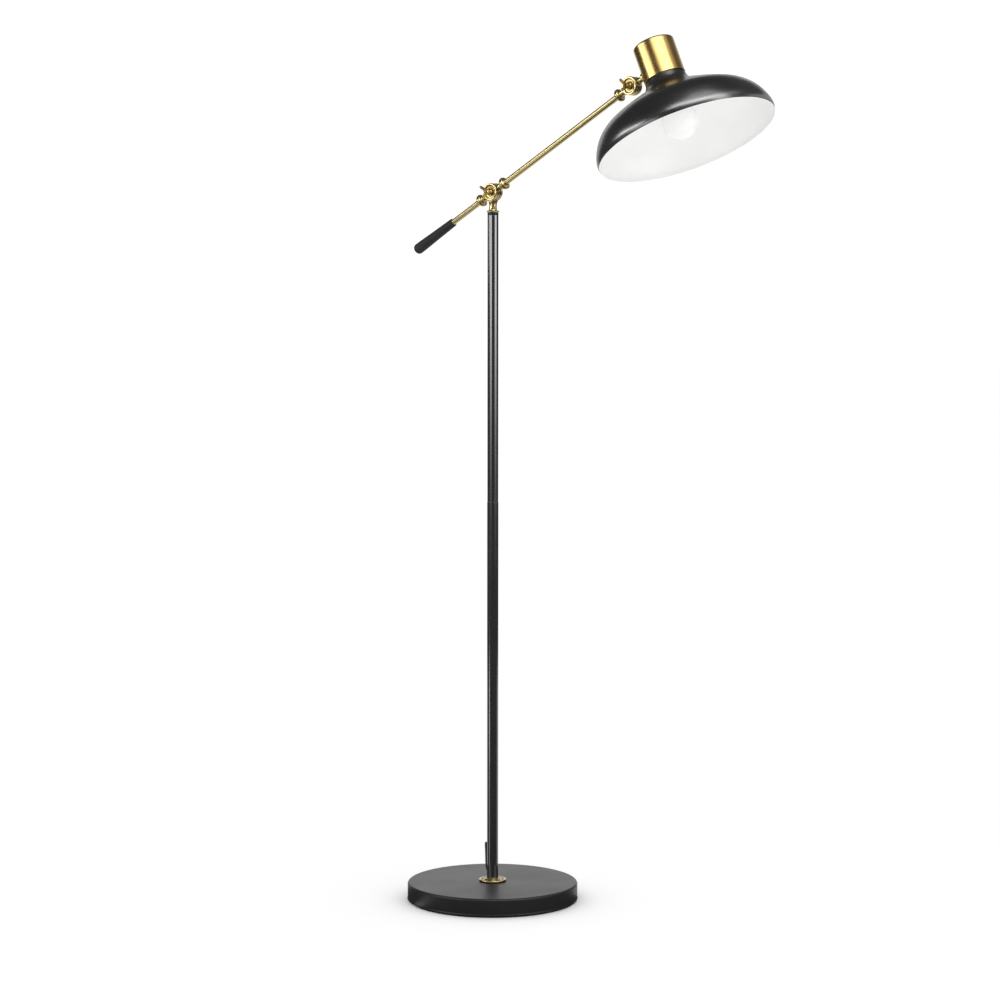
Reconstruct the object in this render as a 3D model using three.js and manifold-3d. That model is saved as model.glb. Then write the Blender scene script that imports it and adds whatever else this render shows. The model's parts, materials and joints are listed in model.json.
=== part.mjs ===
// A pharmacy floor lamp: a weighted round base, a two-piece pole, a clamped tilting arm
// with a grip, and a dished shade under a metal cap, with its bulb, socket and cord.
// Millimetres, +Z up, the origin at the centre of the base's underside. The arm points along +X.
import * as THREE from "three";
import { mergeVertices } from "three/addons/utils/BufferGeometryUtils.js";
import Module from "manifold-3d";

const wasm = await Module();
wasm.setup();

// Driving dimensions
const GAP = 0.3; // between pieces that touch
const BASE_RADIUS = 149.2;
const BASE_HEIGHT = 32.5;
const SHEET = 1.3; // the base cover's steel
const POLE_RADIUS = 9.85;
const UPPER_POLE_RADIUS = 9.5;
const POLE_BORE = 8.1;
const POLE_SPLIT = 698; // where the two tubes of the pole meet
const POLE_TOP = 1192.6;
const PIVOT_HEIGHT = 1232;
const ARM_ELEVATION = THREE.MathUtils.degToRad(27.6);
const ARM_REACH = 353; // from the pivot to the head joint
const ROD_RADIUS = 5.15;
const GRIP_START = 107.5;
const GRIP_END = 209.5;
const JOINT_RADIUS = 15.5; // the round cheeks of both joints
const JOINT_HALF = 8.8; // half the width over the cheeks
const SLOT_HALF = 3.2; // half the slot between them
const KNUCKLE_HALF = 2;
const BEAD_PLACE = 30; // from a joint's axis to the middle of a turned bead
const SHADE_TILT = THREE.MathUtils.degToRad(24.6);
const SHADE_AXIS = 67.5; // from the head joint to the shade's axis
const RIM_DROP = 134.5; // from the head joint down to the rim's plane
const SHADE_SHEET = 1.2;
const CAP_RADIUS = 34.6;
const CAP_BOTTOM = 113; // heights in the head are above the rim's plane
const CAP_TOP = 175.5;
const CORD_RADIUS = 2.75;
const COIL_MIDDLE = 31; // the radius at the middle of the coil's turns
const COIL_PLACE = [-173.95, 89.1];

const PAINT_BLACK = [0x1b1b1c, 0.32, 0.1];
const SATIN_BLACK = [0x222223, 0.55, 0.1];
const BRASS = [0xc8a552, 0.25, 1];
const BRUSHED_GOLD = [0xb98a42, 0.38, 1];
const STEEL = [0x9a9b9d, 0.4, 1];
const IRON = [0x4b4a48, 0.8, 0.4];
const RUBBER = [0x141414, 0.8, 0];
const WHITE = [0xf4f2ec, 0.5, 0];

const lamp = new THREE.Group();

// Solid helpers -------------------------------------------------------------

function toSolid(geometry) {
  const bare = new THREE.BufferGeometry();
  const flat = geometry.index ? geometry.toNonIndexed() : geometry;
  bare.setAttribute("position", flat.getAttribute("position"));
  const merged = mergeVertices(bare, 1e-3);
  return new wasm.Manifold(
    new wasm.Mesh({
      numProp: 3,
      vertProperties: merged.attributes.position.array,
      triVerts: new Uint32Array(merged.index.array),
    }),
  );
}

function toGeometry(solid) {
  const mesh = solid.getMesh();
  const geometry = new THREE.BufferGeometry();
  geometry.setAttribute("position", new THREE.BufferAttribute(mesh.vertProperties, 3));
  geometry.setIndex(new THREE.BufferAttribute(mesh.triVerts, 1));
  return geometry.toNonIndexed();
}

const join = (first, ...rest) =>
  toGeometry(rest.reduce((sum, g) => sum.add(toSolid(g)), toSolid(first)));
const cut = (first, ...rest) =>
  toGeometry(rest.reduce((left, g) => left.subtract(toSolid(g)), toSolid(first)));

// A profile of [radius, height] points, taken round the Z axis. It runs up the outside.
function turned(profile, sides = 14) {
  const points = profile.map(([r, z]) => new THREE.Vector2(r, z));
  return new THREE.LatheGeometry(points, sides).rotateX(Math.PI / 2);
}

// A ring or tube: the outside goes up, the bore comes down, and the profile closes.
function ring(outer, bore, low, high, sides = 12) {
  return turned([[bore, low], [outer, low], [outer, high], [bore, high], [bore, low]], sides);
}

function rod(radius, low, high, sides = 10) {
  return turned([[0, low], [radius, low], [radius, high], [0, high]], sides);
}

// A hexagon nut, by its corner radius and the radius of its hole.
const nut = (corner, bore, low, high) => cut(rod(corner, low, high, 6), rod(bore, low - 1, high + 1, 12));

// Turns a solid made along +Z so that it runs along +X or -Y.
const alongX = (geometry) => geometry.rotateY(Math.PI / 2);
const alongFront = (geometry) => geometry.rotateX(Math.PI / 2);

function roundedPlate(length, width, corner, thickness) {
  const x = length / 2 - corner;
  const y = width / 2 - corner;
  const shape = new THREE.Shape();
  shape.absarc(x, y, corner, 0, Math.PI / 2);
  shape.absarc(-x, y, corner, Math.PI / 2, Math.PI);
  shape.absarc(-x, -y, corner, Math.PI, 1.5 * Math.PI);
  shape.absarc(x, -y, corner, 1.5 * Math.PI, 2 * Math.PI);
  return new THREE.ExtrudeGeometry(shape, {
    depth: thickness, bevelEnabled: false, curveSegments: 5,
  });
}

function place(name, geometry, [color, roughness, metalness], parent = lamp) {
  const material = new THREE.MeshStandardMaterial({ color, roughness, metalness });
  const mesh = new THREE.Mesh(geometry, material);
  mesh.name = name;
  parent.add(mesh);
  return mesh;
}

// A torus-like bead and its neck are drawn as an arc of profile points.
function arc(r, z, radius, from, to, steps) {
  const points = [];
  for (let i = 0; i <= steps; i++) {
    const a = THREE.MathUtils.degToRad(from + ((to - from) * i) / steps);
    points.push([r + radius * Math.cos(a), z + radius * Math.sin(a)]);
  }
  return points;
}

// Base ----------------------------------------------------------------------

function makeBase() {
  const corner = 5;
  const lip = 2.5;
  const bottom = 1.8;
  const top = BASE_HEIGHT;
  const inner = BASE_RADIUS - SHEET;
  const cover = turned([
    [inner - 1, bottom],
    ...arc(BASE_RADIUS - lip, bottom + lip, lip, -90, 0, 2),
    ...arc(BASE_RADIUS - corner, top - corner, corner, 0, 90, 3),
    [6, top],
    [6, top - SHEET],
    ...arc(BASE_RADIUS - corner, top - corner, corner - SHEET, 90, 0, 2),
    [inner, bottom + lip],
    [inner - 1, bottom + SHEET],
    [inner - 1, bottom],
  ], 36);
  place("base_cover", cover, SATIN_BLACK);
  place("base_pad", rod(146.5, 0, 1.5, 36), RUBBER);

  const plateTop = 5.6;
  const ballastLow = plateTop + GAP;
  const ballastTop = top - SHEET - GAP;
  const nutHeight = 7;
  const slab = 8; // the iron disc, which has a boss up to the cover
  place("base_ballast", turned([
    [14, ballastLow], [142, ballastLow], [142, ballastLow + slab], [46, ballastLow + slab],
    [42, ballastTop], [6, ballastTop], [6, ballastLow + nutHeight + 2.6],
    [14, ballastLow + nutHeight + 2.6], [14, ballastLow],
  ], 28), IRON);

  const screwCircle = 118;
  const screwSpots = [0, 1, 2].map((i) => {
    const a = (Math.PI * 2 * i) / 3 + Math.PI / 6;
    return [screwCircle * Math.cos(a), screwCircle * Math.sin(a)];
  });
  // The holes in the plate take the screws, whose threads would be cut into the ballast.
  const holes = screwSpots.map(([x, y]) => rod(2.5, 0, 9, 8).translate(x, y, 0));
  const plate = cut(ring(144, 16, 4.2, plateTop, 28), ...holes);
  place("base_bottom_plate", plate, STEEL);
  screwSpots.forEach(([x, y], i) => {
    const screw = turned([[0, 2.6], [4, 2.6], [4, 3.9], [2, 3.9], [2, 5.75], [0, 5.75]], 8);
    place("base_screw_" + (i + 1), screw, STEEL).position.set(x, y, 0);
  });

  place("base_nipple", ring(5, 3.4, 7, 52, 12), STEEL);
  place("base_washer", ring(13.4, 5.5, 13.2, 15.1, 12), STEEL);
  place("base_nut", nut(9.2, 5.4, 7.6, 12.9), STEEL);

  place("base_collar", turned([
    [POLE_RADIUS + GAP, top + GAP], [23, top + GAP],
    ...arc(22.5, top + 1.9, 1.8, -60, 120, 4),
    [17.5, top + 1.8], [13.5, top + 2.6], [11.6, top + 4.2], [11, top + 5],
    [POLE_RADIUS + GAP, top + 5], [POLE_RADIUS + GAP, top + GAP],
  ], 20), BRASS);
}

// Pole ----------------------------------------------------------------------

function makePole() {
  const foot = BASE_HEIGHT + GAP;
  const gland = new THREE.CylinderGeometry(3.1, 3.1, 12, 12);
  gland.rotateZ(Math.PI / 2).translate(-POLE_RADIUS + 1, 0, 92);
  place("pole_lower", cut(ring(POLE_RADIUS, POLE_BORE, foot, POLE_SPLIT, 20), gland), PAINT_BLACK);
  place("pole_upper", ring(UPPER_POLE_RADIUS, POLE_BORE, POLE_SPLIT + GAP, POLE_TOP, 20), PAINT_BLACK);
  place("pole_coupler", ring(POLE_BORE - GAP, 4.6, POLE_SPLIT - 24, POLE_SPLIT + 24, 12), STEEL);
  place("pole_foot_bush", ring(POLE_BORE - GAP, 5.3, foot + 0.4, foot + 17, 12), STEEL);
  place("pole_top_bush", ring(POLE_BORE - GAP, 5.3, POLE_TOP - 20, POLE_TOP - 0.4, 12), STEEL);
  place("pole_top_ring", ring(UPPER_POLE_RADIUS + 0.1, 6.3, POLE_TOP + GAP, POLE_TOP + 4.4, 20), SATIN_BLACK);

  // A right-angle strain relief: it plugs into the pole's rear and its tail points down.
  const stem = rod(2.8, 6.6, 12, 10).rotateY(-Math.PI / 2).translate(0, 0, 92);
  const tail = turned([
    [0, 64], [3.0, 64], [3.5, 84], [3.6, 96], [2.4, 98.6], [0, 99],
  ], 10).translate(-13.75, 0, 0);
  place("strain_relief", join(tail, stem), RUBBER);
  place("pole_cable", rod(2.7, 100, PIVOT_HEIGHT - 62, 8), RUBBER);
}

// Joints --------------------------------------------------------------------
// Both joints share one design. It is made about its own centre, with the pin along Y.
// The fork's stem points along -Z and the knuckle's sleeve along +X.

function makeForkCheeks() {
  // Each cheek is a disc with a raised rim on its outer face.
  const cheek = () => turned([
    [3.4, SLOT_HALF], [JOINT_RADIUS, SLOT_HALF], [JOINT_RADIUS, JOINT_HALF - 0.6],
    [JOINT_RADIUS - 0.7, JOINT_HALF], [12, JOINT_HALF], [12, JOINT_HALF - 2.6],
    [3.4, JOINT_HALF - 2.6], [3.4, SLOT_HALF],
  ], 20);
  return [alongFront(cheek()), alongFront(cheek()).rotateZ(Math.PI)];
}

function makeFork(stem) {
  const web = roundedPlate(10.4, 14.6, 4, 6.8).translate(0, 0, -18);
  const slot = alongFront(rod(15.9, -SLOT_HALF, SLOT_HALF, 20));
  return join(cut(join(stem, web), slot, alongFront(rod(JOINT_RADIUS - 1.5, -30, 30, 20))),
    ...makeForkCheeks());
}

// The profile of a sleeve with its bead, from the joint outwards.
const sleeveProfile = (end) => [
  [0, 16.3], [5.4, 16.3], [6.4, 17.8], [5.9, 22.4], [6.5, BEAD_PLACE - 4.4],
  ...arc(6.8, BEAD_PLACE, 4.4, -75, 75, 4),
  [6.6, BEAD_PLACE + 4.6], [6.6, end], [0, end],
];

function makeKnuckle(...sleeves) {
  const disc = alongFront(ring(15.2, 3.4, -KNUCKLE_HALF, KNUCKLE_HALF, 20));
  const tongues = sleeves.map((s) => {
    const tongue = new THREE.BoxGeometry(8, 2 * KNUCKLE_HALF, 10.4).translate(14.2, 0, 0);
    return s.back ? tongue.rotateY(Math.PI) : tongue;
  });
  return join(disc, ...tongues, ...sleeves.map((s) => s.shape));
}

function makeWasher(name, parent, side) {
  const washer = alongFront(ring(12, 3.4, KNUCKLE_HALF + GAP, SLOT_HALF - GAP, 12));
  place(name, side > 0 ? washer : washer.rotateZ(Math.PI), STEEL, parent);
}

// The bolt's head sits in the rear cheek's recess, and the key screws onto its front end.
function makeBolt(name, parent) {
  const head = JOINT_HALF - 2.6 + GAP;
  const bolt = turned([
    [0, -head - 3.4], [3.6, -head - 3.4], [6, -head - 2.2], [6, -head], [3, -head],
    [3, head - 1], [0, head - 1],
  ], 12);
  place(name, alongFront(bolt), BRASS, parent);
}

// Half the outline of a wing key: out from the hub to a rounded tip and back to the notch.
const WING = [
  [4, -11.5], [5.2, -16], [8.6, -22], [10.6, -26], [10.2, -28.6], [8.2, -29.4], [5.6, -27.4],
  [2.6, -23], [0, -21.6],
];

function wingPlate(thickness) {
  const right = WING.map(([x, y]) => new THREE.Vector2(x, y));
  const left = WING.slice(0, -1).reverse().map(([x, y]) => new THREE.Vector2(-x, y));
  return new THREE.ExtrudeGeometry(new THREE.Shape([...right, ...left]), {
    depth: thickness, bevelEnabled: false,
  }).translate(0, 0, -thickness / 2);
}

function makeKey(name, parent, turn) {
  const hub = alongFront(turned([
    [0, 6.7], [5.8, 6.7], [5.8, 8.6], [4.2, 10], [3.4, 13], [0, 13],
  ], 12));
  place(name, join(hub, wingPlate(2.6)).rotateY(-turn), BRASS, parent);
}

function makePivot() {
  const joint = new THREE.Group();
  joint.position.z = PIVOT_HEIGHT;
  lamp.add(joint);
  const flange = POLE_TOP + 4.4 + GAP - PIVOT_HEIGHT;
  const stem = turned([
    [0, flange], [10.4, flange], ...arc(9.8, flange + 2.4, 1.6, -40, 90, 3),
    [7.2, flange + 5.4], [6.4, flange + 9], [6.2, flange + 13], [6.2, -13], [0, -13],
  ], 16);
  const nipple = rod(4.9, flange - 32, flange + 1, 12);
  // A wire way runs up the nipple into the stem.
  const wireWay = rod(3, flange - 40, flange + 6, 12);
  place("pivot_post", cut(join(makeFork(stem), nipple), wireWay), BRASS, joint);
  const under = POLE_TOP - 20 - PIVOT_HEIGHT - GAP;
  place("swivel_washer", ring(7, 5.3, under - 1.4, under, 12), STEEL, joint);
  place("swivel_nut", nut(6.9, 5.3, under - 6.6, under - 1.4 - GAP), STEEL, joint);
  makeWasher("pivot_washer_front", joint, 1);
  makeWasher("pivot_washer_rear", joint, -1);
  makeBolt("pivot_bolt", joint);
  makeKey("pivot_key", joint, THREE.MathUtils.degToRad(114));
}

// Arm -----------------------------------------------------------------------

function makeArm() {
  const arm = new THREE.Group();
  arm.position.z = PIVOT_HEIGHT;
  arm.rotation.y = -ARM_ELEVATION;
  lamp.add(arm);

  const sleeveEnd = BEAD_PLACE + 5.4;
  const socket = () => rod(ROD_RADIUS + GAP, sleeveEnd - 10, sleeveEnd + 4, 16);
  const sleeve = () => alongX(cut(turned(sleeveProfile(sleeveEnd), 16), socket()));
  place("arm_knuckle", makeKnuckle(
    { shape: sleeve() }, { shape: sleeve().rotateY(Math.PI), back: true },
  ), BRASS, arm);

  const rodStart = sleeveEnd - 10 + GAP;
  const headSleeve = ARM_REACH - sleeveEnd + 10 - GAP;
  place("arm_tube", alongX(ring(ROD_RADIUS, 3.9, rodStart, headSleeve, 16)), BRASS, arm);
  place("arm_cable", alongX(rod(2.7, rodStart + 1, headSleeve - 1, 8)), RUBBER, arm);
  place("grip_rod", alongX(rod(ROD_RADIUS, rodStart, 190, 16)).rotateY(Math.PI), BRASS, arm);

  const bore = ROD_RADIUS + GAP;
  const grip = turned([
    [bore, GRIP_START], [6.8, GRIP_START], [7.3, GRIP_START + 0.6], [7.5, GRIP_START + 12],
    [8.2, 150], [9.2, 187], [9.5, GRIP_END - 9], ...arc(3.6, GRIP_END - 6, 6, 5, 90, 4),
    [0, GRIP_END], [0, 190.5], [bore, 190.5], [bore, GRIP_START],
  ], 16);
  place("grip", alongX(grip).rotateY(Math.PI), RUBBER, arm);

  const joint = new THREE.Group();
  joint.position.x = ARM_REACH;
  arm.add(joint);
  place("head_fork", makeHeadFork(sleeveEnd), BRASS, joint);
  makeWasher("head_washer_front", joint, 1);
  makeWasher("head_washer_rear", joint, -1);
  makeBolt("head_bolt", joint);
  makeKey("head_key", joint, THREE.MathUtils.degToRad(47) + ARM_ELEVATION);
}

// The same fork, with a bead on its stem and a bore for the arm's tube, along -X.
function makeHeadFork(sleeveEnd) {
  const stem = turned([
    [0, 12], [5.9, 12], [5.9, 22.4], [6.5, BEAD_PLACE - 4.4],
    ...arc(6.8, BEAD_PLACE, 4.4, -75, 75, 4), [6.6, BEAD_PLACE + 4.6], [6.6, sleeveEnd], [0, sleeveEnd],
  ], 16).rotateX(Math.PI);
  const bore = rod(ROD_RADIUS + GAP, sleeveEnd - 10, sleeveEnd + 4, 16).rotateX(Math.PI);
  return cut(makeFork(stem), bore).rotateY(Math.PI / 2);
}

// Head ----------------------------------------------------------------------

// The shade's outside, from the rim up to its neck, as points of one smooth curve.
const SHADE_POINTS = [
  [149, 0], [150.2, 9], [146.8, 22], [137.8, 39], [124, 53.2], [105, 64.4],
  [80, 76.4], [58, 86.2], [44.5, 93.4], [37, 101.5], [33.6, 111.6],
];

function makeShade() {
  const curve = new THREE.SplineCurve(SHADE_POINTS.map(([r, z]) => new THREE.Vector2(r, z)));
  const steps = 10;
  const outside = [];
  const inside = [];
  for (let i = 0; i <= steps; i++) {
    const at = curve.getPoint(i / steps);
    const along = curve.getTangent(i / steps);
    outside.push([at.x, at.y]);
    inside.unshift([at.x - along.y * SHADE_SHEET, Math.max(0, at.y + along.x * SHADE_SHEET)]);
  }
  const seat = [[21, outside[steps][1]], [21, outside[steps][1] - SHADE_SHEET]];
  return turned([...outside, ...seat, ...inside, outside[0]], 32);
}

function makeHead() {
  const joint = new THREE.Group();
  joint.position.set(ARM_REACH * Math.cos(ARM_ELEVATION), 0,
    PIVOT_HEIGHT + ARM_REACH * Math.sin(ARM_ELEVATION));
  joint.rotation.y = -SHADE_TILT;
  lamp.add(joint);
  const head = new THREE.Group();
  head.position.set(SHADE_AXIS, 0, -RIM_DROP);
  joint.add(head);

  const wall = SHADE_AXIS - CAP_RADIUS; // the cap's outside, from the joint
  const stub = alongX(turned([
    [0, 16.3], [5.2, 16.3], [5.8, 18.5], [4.9, 24], [4.9, wall - 6], [8.6, wall - 5],
    [8.6, wall + 2], [0, wall + 2],
  ], 16));
  const tail = alongX(rod(3.4, wall - 4, wall + 13, 12));
  const capSpace = rod(CAP_RADIUS + GAP, -40, 60, 24).translate(SHADE_AXIS, 0, 0);
  place("head_knuckle", join(cut(makeKnuckle({ shape: stub }), capSpace), tail), BRASS, joint);
  place("stub_nut", alongX(nut(6.6, 3.8, wall + 2.6, wall + 8)), STEEL, joint);

  const inner = CAP_RADIUS - 1.3;
  const cap = turned([
    [inner, CAP_BOTTOM], [CAP_RADIUS, CAP_BOTTOM],
    ...arc(CAP_RADIUS - 4, CAP_TOP - 4, 4, 0, 90, 3), [0, CAP_TOP],
    [0, CAP_TOP - 1.3], [inner - 3, CAP_TOP - 1.3], [inner, CAP_TOP - 5], [inner, CAP_BOTTOM],
  ], 24);
  const sideHole = alongX(rod(3.8, -40, -20, 12)).translate(0, 0, RIM_DROP);
  place("cap", cut(cap, sideHole), BRUSHED_GOLD, head);
  place("shade", makeShade(), SATIN_BLACK, head);

  const seat = SHADE_POINTS.at(-1)[1];
  const socketTop = 125;
  place("socket_body", turned([
    [15.2, 84], [19, 84], [19, seat - 6], [20.4, seat - 6], [20.4, seat + 5],
    [19, seat + 5.2], [19, socketTop], [5.4, socketTop], [5.4, socketTop - 5],
    [15.2, socketTop - 5], [15.2, 84],
  ], 16), WHITE, head);
  place("shade_ring", ring(26, 20.8, seat - SHADE_SHEET - 4.3, seat - SHADE_SHEET - GAP, 16), WHITE, head);
  place("socket_shell", ring(14.7, 13.9, 86, 114, 16), BRASS, head);
  place("socket_contact", ring(6, 2.4, 117.4, 119.5, 12), BRASS, head);
  place("socket_nipple", ring(5, 3.4, socketTop - 4, 158, 16), STEEL, head);
  const bar = new THREE.BoxGeometry(12, 2 * (inner - 1.2), 2.6).translate(0, 0, 150);
  place("cap_crossbar", cut(bar, rod(5.4, 140, 160, 16)), STEEL, head);
  place("nipple_nut", nut(8.4, 5.4, 151.7, 157), STEEL, head);

  // The bulb: a frosted globe that narrows to a screw base.
  const bulbSkin = (wall) => [
    ...arc(0, 35, 30 - wall, -90, 40, 8).map(([r, z]) => [Math.max(0, r), z]),
    [19.2 - wall, 64], [15.8 - wall, 73], [13.4 - wall, 83],
  ];
  place("bulb_glass", turned([...bulbSkin(0), ...bulbSkin(1).reverse()], 18), WHITE, head);
  place("bulb_base", turned([
    [0, 83.3], [13.2, 83.3], [13.2, 108], [8, 112], [5, 114], [5, 116.8], [0, 116.8],
  ], 16), STEEL, head);
}

// Cord ----------------------------------------------------------------------
// The cord leaves the strain relief, crosses the base behind the pole, drops off the rear
// edge and is stored in a coil on the floor, with its foot switch and plug beside it.

const CORD_DOWN = [
  [-13.75, 0, 63.7], [-13.85, 0.7, 57.5], [-15, 4, 49.6], [-18.6, 10.6, 43.2],
  [-25.6, 20, 39.2], [-35, 31.4, 36.1], [-50, 47.6, 35.7], [-74, 72.2, 35.6],
  [-98, 96.6, 35.6], [-103.3, 101.9, 35.5], [-110.6, 109.1, 34], [-117, 115.5, 29.1],
  [-122.2, 120.7, 19.7], [-127.4, 126, 10.3], [-133.8, 132.3, 5.1], [-141, 139.6, 3.1],
  [-151.8, 145.9, 3.05], [-164.3, 145.9, 3.05], [-175, 139.7, 3.05], [-184.7, 130, 3.05],
];
const CORD_TAIL = [
  [-132.4, 96.6, 4.4], [-128.8, 105.4, 3.2], [-124.5, 114.1, 3.05], [-119, 122.1, 3.3],
  [-113, 129.2, 5], [-108.9, 132.3, 6.6], [-105, 134.5, 7.2],
];
const CORD_END = [
  [-52.8, 162.3, 7.2], [-47.6, 164.8, 6.8], [-42, 167.1, 6.5], [-36.8, 168.7, 6.5],
  [-31.6, 169.6, 6.6],
];

function cordTube(points, steps) {
  const curve = new THREE.CatmullRomCurve3(points.map((p) => new THREE.Vector3(...p)), false, "centripetal");
  const section = new THREE.Shape().absarc(0, 0, CORD_RADIUS, 0, 2 * Math.PI);
  return new THREE.ExtrudeGeometry(section, {
    steps, curveSegments: 4, extrudePath: curve, bevelEnabled: false,
  });
}

function makeCord() {
  place("cord_from_pole", cordTube(CORD_DOWN, 36), RUBBER);
  const half = 1.5 * 2 * CORD_RADIUS;
  place("cord_coil", ring(COIL_MIDDLE + half, COIL_MIDDLE - half, GAP, 4 * CORD_RADIUS + GAP, 24)
    .translate(...COIL_PLACE, 0), RUBBER);
  place("cord_to_switch", cordTube(CORD_TAIL, 12), RUBBER);
  place("cord_to_plug", cordTube(CORD_END, 8), RUBBER);

  // The foot switch lies along the base's rear wall.
  const heading = THREE.MathUtils.degToRad(28);
  const body = new THREE.Group();
  body.position.set(-78.9, 148.4, 0);
  body.rotation.z = heading;
  lamp.add(body);
  place("switch_base", roundedPlate(58, 30, 13, 6.7).translate(0, 0, GAP), SATIN_BLACK, body);
  const cover = roundedPlate(58, 30, 13, 7.5).translate(0, 0, 7.3);
  place("switch_cover", cut(cover, rod(8.4, 5, 20, 20)), SATIN_BLACK, body);
  place("switch_button", rod(8, 10, 16.8, 20), RUBBER, body);

  const plug = new THREE.Group();
  plug.position.set(-31.1, 169.7, 6.6);
  plug.rotation.z = THREE.MathUtils.degToRad(7);
  lamp.add(plug);
  const bladeHalf = 6.35;
  const plugBody = alongX(turned([
    [0, 0.1], [3.8, 0.1], [4.6, 10], [6, 14], [6.2, 33.6], [0, 33.6],
  ], 12));
  const shell = roundedPlate(18, 22, 5, 12).translate(24.6, 0, -6.1);
  place("plug_body", join(plugBody, shell), RUBBER, plug);
  [-1, 1].forEach((side, i) => {
    const blade = new THREE.BoxGeometry(16, 1.6, 6.3).translate(34 + 8, side * bladeHalf, 0);
    place("plug_blade_" + (i + 1), blade, STEEL, plug);
  });
}

makeBase();
makePole();
makePivot();
makeArm();
makeHead();
makeCord();

export default lamp;
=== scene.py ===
"""A pharmacy floor lamp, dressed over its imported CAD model: spun and turned metal,
a powder-coated base, a gloss pole, polished brass joints, a dished shade and its cord.

The lamp's sizes are in millimetres, and each piece is scaled to metres as it is placed.
The camera and the studio are in metres.
"""
import json
import math
import bpy
from mathutils import Matrix, Quaternion, Vector


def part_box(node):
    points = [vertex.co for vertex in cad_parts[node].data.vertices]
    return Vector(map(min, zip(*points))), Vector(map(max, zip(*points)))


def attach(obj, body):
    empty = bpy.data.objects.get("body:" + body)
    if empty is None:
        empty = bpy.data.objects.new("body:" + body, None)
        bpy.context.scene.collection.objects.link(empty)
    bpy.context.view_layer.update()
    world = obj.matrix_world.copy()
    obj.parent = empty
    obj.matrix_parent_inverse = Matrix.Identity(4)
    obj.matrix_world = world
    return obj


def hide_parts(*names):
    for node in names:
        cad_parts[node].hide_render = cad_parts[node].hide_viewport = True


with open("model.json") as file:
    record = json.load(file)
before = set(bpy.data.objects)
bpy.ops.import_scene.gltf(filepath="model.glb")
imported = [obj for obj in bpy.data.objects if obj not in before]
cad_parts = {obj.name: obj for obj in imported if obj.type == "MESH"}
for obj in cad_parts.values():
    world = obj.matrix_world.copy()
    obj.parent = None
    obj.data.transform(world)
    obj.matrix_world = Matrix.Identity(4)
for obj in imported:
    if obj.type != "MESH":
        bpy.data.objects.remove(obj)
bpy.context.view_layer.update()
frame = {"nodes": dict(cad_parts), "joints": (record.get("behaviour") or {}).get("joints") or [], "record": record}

MM = 0.001

# Places from the frame ------------------------------------------------------

joint_at = {j["name"]: j.get("pos_m") for j in frame["joints"]}
PIVOT = Vector(joint_at["arm_tilt"])
HEAD_JOINT = Vector(joint_at["head_tilt"])
ARM_LINE = HEAD_JOINT - PIVOT
ARM_REACH = ARM_LINE.length / MM
ARM_ELEVATION = math.atan2(ARM_LINE.z, ARM_LINE.x)


def top_of(node):
    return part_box(node)[1][2] / MM


def foot_of(node):
    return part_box(node)[0][2] / MM


BASE_TOP = top_of("base_cover")
BASE_BOTTOM = foot_of("base_cover")
BASE_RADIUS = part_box("base_cover")[1][0] / MM
POLE_FOOT = foot_of("pole_lower")
POLE_SPLIT = top_of("pole_lower")
POLE_TOP = top_of("pole_upper")
BAND_TOP = top_of("pole_top_ring")

# Driving sizes --------------------------------------------------------------

POLE_RADIUS = 9.85
UPPER_POLE_RADIUS = 9.5
POLE_BORE = 8.1
ROD_RADIUS = 5.15
JOINT_RADIUS = 15.5
JOINT_HALF = 8.8  # half the width over a joint's cheeks
SLOT_HALF = 3.2
KNUCKLE_HALF = 2
BEAD_PLACE = 30  # from a joint's axis to the middle of a turned bead
SLEEVE_END = BEAD_PLACE + 5.4
GRIP_START = 107.5
GRIP_END = 209.5
SHADE_TILT = math.radians(24.6)
SHADE_AXIS = 67.5  # from the head joint to the shade's axis
RIM_DROP = 134.5  # from the head joint down to the rim's plane
SHADE_SHEET = 1.2
SHADE_HOLE = 21  # radius of the hole in the shade's crown, for the socket
CAP_RADIUS = 34.6
CAP_BOTTOM = 113  # heights in the head are above the rim's plane
CAP_TOP = 175.5
CORD_RADIUS = 2.75
GAP = 0.3  # between neighbouring solids

WHOLE = Matrix.Scale(MM, 4)
AT_PIVOT = Matrix.Translation(PIVOT) @ WHOLE
ARM = AT_PIVOT @ Matrix.Rotation(-ARM_ELEVATION, 4, "Y")
ARM_END = ARM @ Matrix.Translation((ARM_REACH, 0, 0))
AT_HEAD = Matrix.Translation(HEAD_JOINT) @ WHOLE @ Matrix.Rotation(-SHADE_TILT, 4, "Y")
HEAD = AT_HEAD @ Matrix.Translation((SHADE_AXIS, 0, -RIM_DROP))
ALONG_X = Matrix.Rotation(math.pi / 2, 4, "Y")
ALONG_MINUS_X = Matrix.Rotation(-math.pi / 2, 4, "Y")
ALONG_FRONT = Matrix.Rotation(math.pi / 2, 4, "X")
TURN_BACK = Matrix.Rotation(math.pi, 4, "Z")

# Camera ---------------------------------------------------------------------

CAMERA_AZIMUTH = math.radians(43.42)
CAMERA_DISTANCE = 4.614
CAMERA_HEIGHT = 1.032
CAMERA_PITCH = math.radians(4.104)
CAMERA_YAW = math.radians(0.155)
CAMERA_ROLL = math.radians(0.05)
CAMERA_LENS = 96.0


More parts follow.
